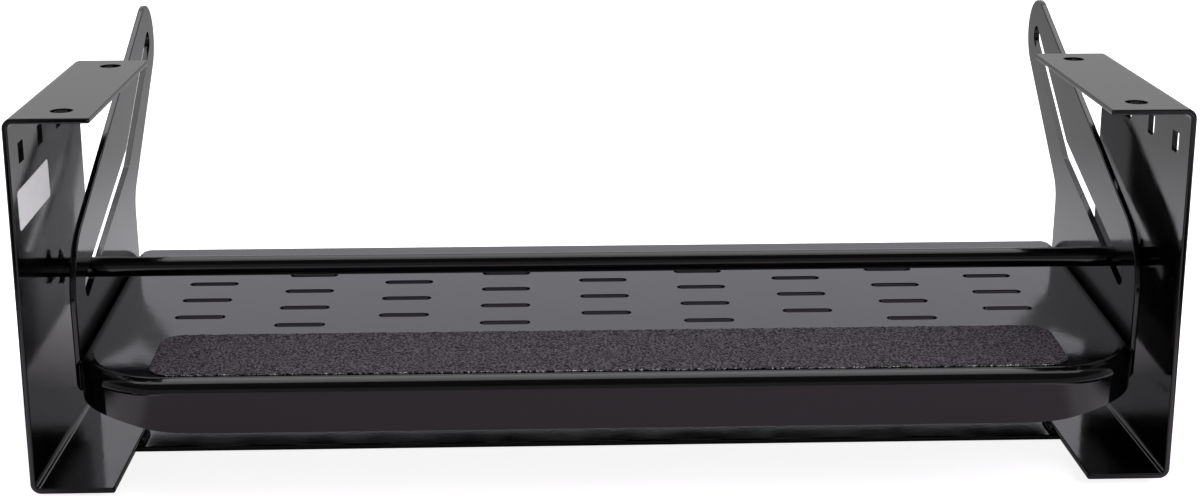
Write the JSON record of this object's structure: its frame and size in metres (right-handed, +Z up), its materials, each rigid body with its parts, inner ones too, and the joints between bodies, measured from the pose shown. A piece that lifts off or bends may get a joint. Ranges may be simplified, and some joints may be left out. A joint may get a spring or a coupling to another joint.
{
  "type": "pull-out caravan entry step",
  "caption": "Pull-out entry step: slotted pressed-steel tread on bent-slot arms that slide and tilt on a cross rod between two folded side brackets.",
  "frame": {"origin": "centre of the four bolt holes, on the top faces of the two brackets", "axes": "+X across the step to the right seen from outside, +Y towards the vehicle, +Z up"},
  "size_m": [0.6176, 0.3125, 0.2206],
  "materials": {
    "black_paint": "gloss",
    "grit_strip": "coarse grit"
  },
  "bodies": {
    "frame": {"left_bracket": "black_paint", "right_bracket": "black_paint", "tie_plate": "black_paint"},
    "rod": {"cross_rod": "black_paint", "left_split_pin": "black_paint", "right_split_pin": "black_paint"},
    "step": {"tread": "black_paint", "left_arm": "black_paint", "right_arm": "black_paint", "grip_strip": "grit_strip"}
  },
  "joints": [
    {"name": "step_tilt", "type": "hinge", "parent": "frame", "child": "rod", "pos_m": [0, -0.00355, -0.1005], "axis": [-1, 0, 0], "range_deg": [-6, 20]},
    {"name": "step_slide", "type": "slide", "parent": "rod", "child": "step", "axis": [0, -0.9516, -0.3074], "range_m": [-0.016, 0.118]}
  ]
}
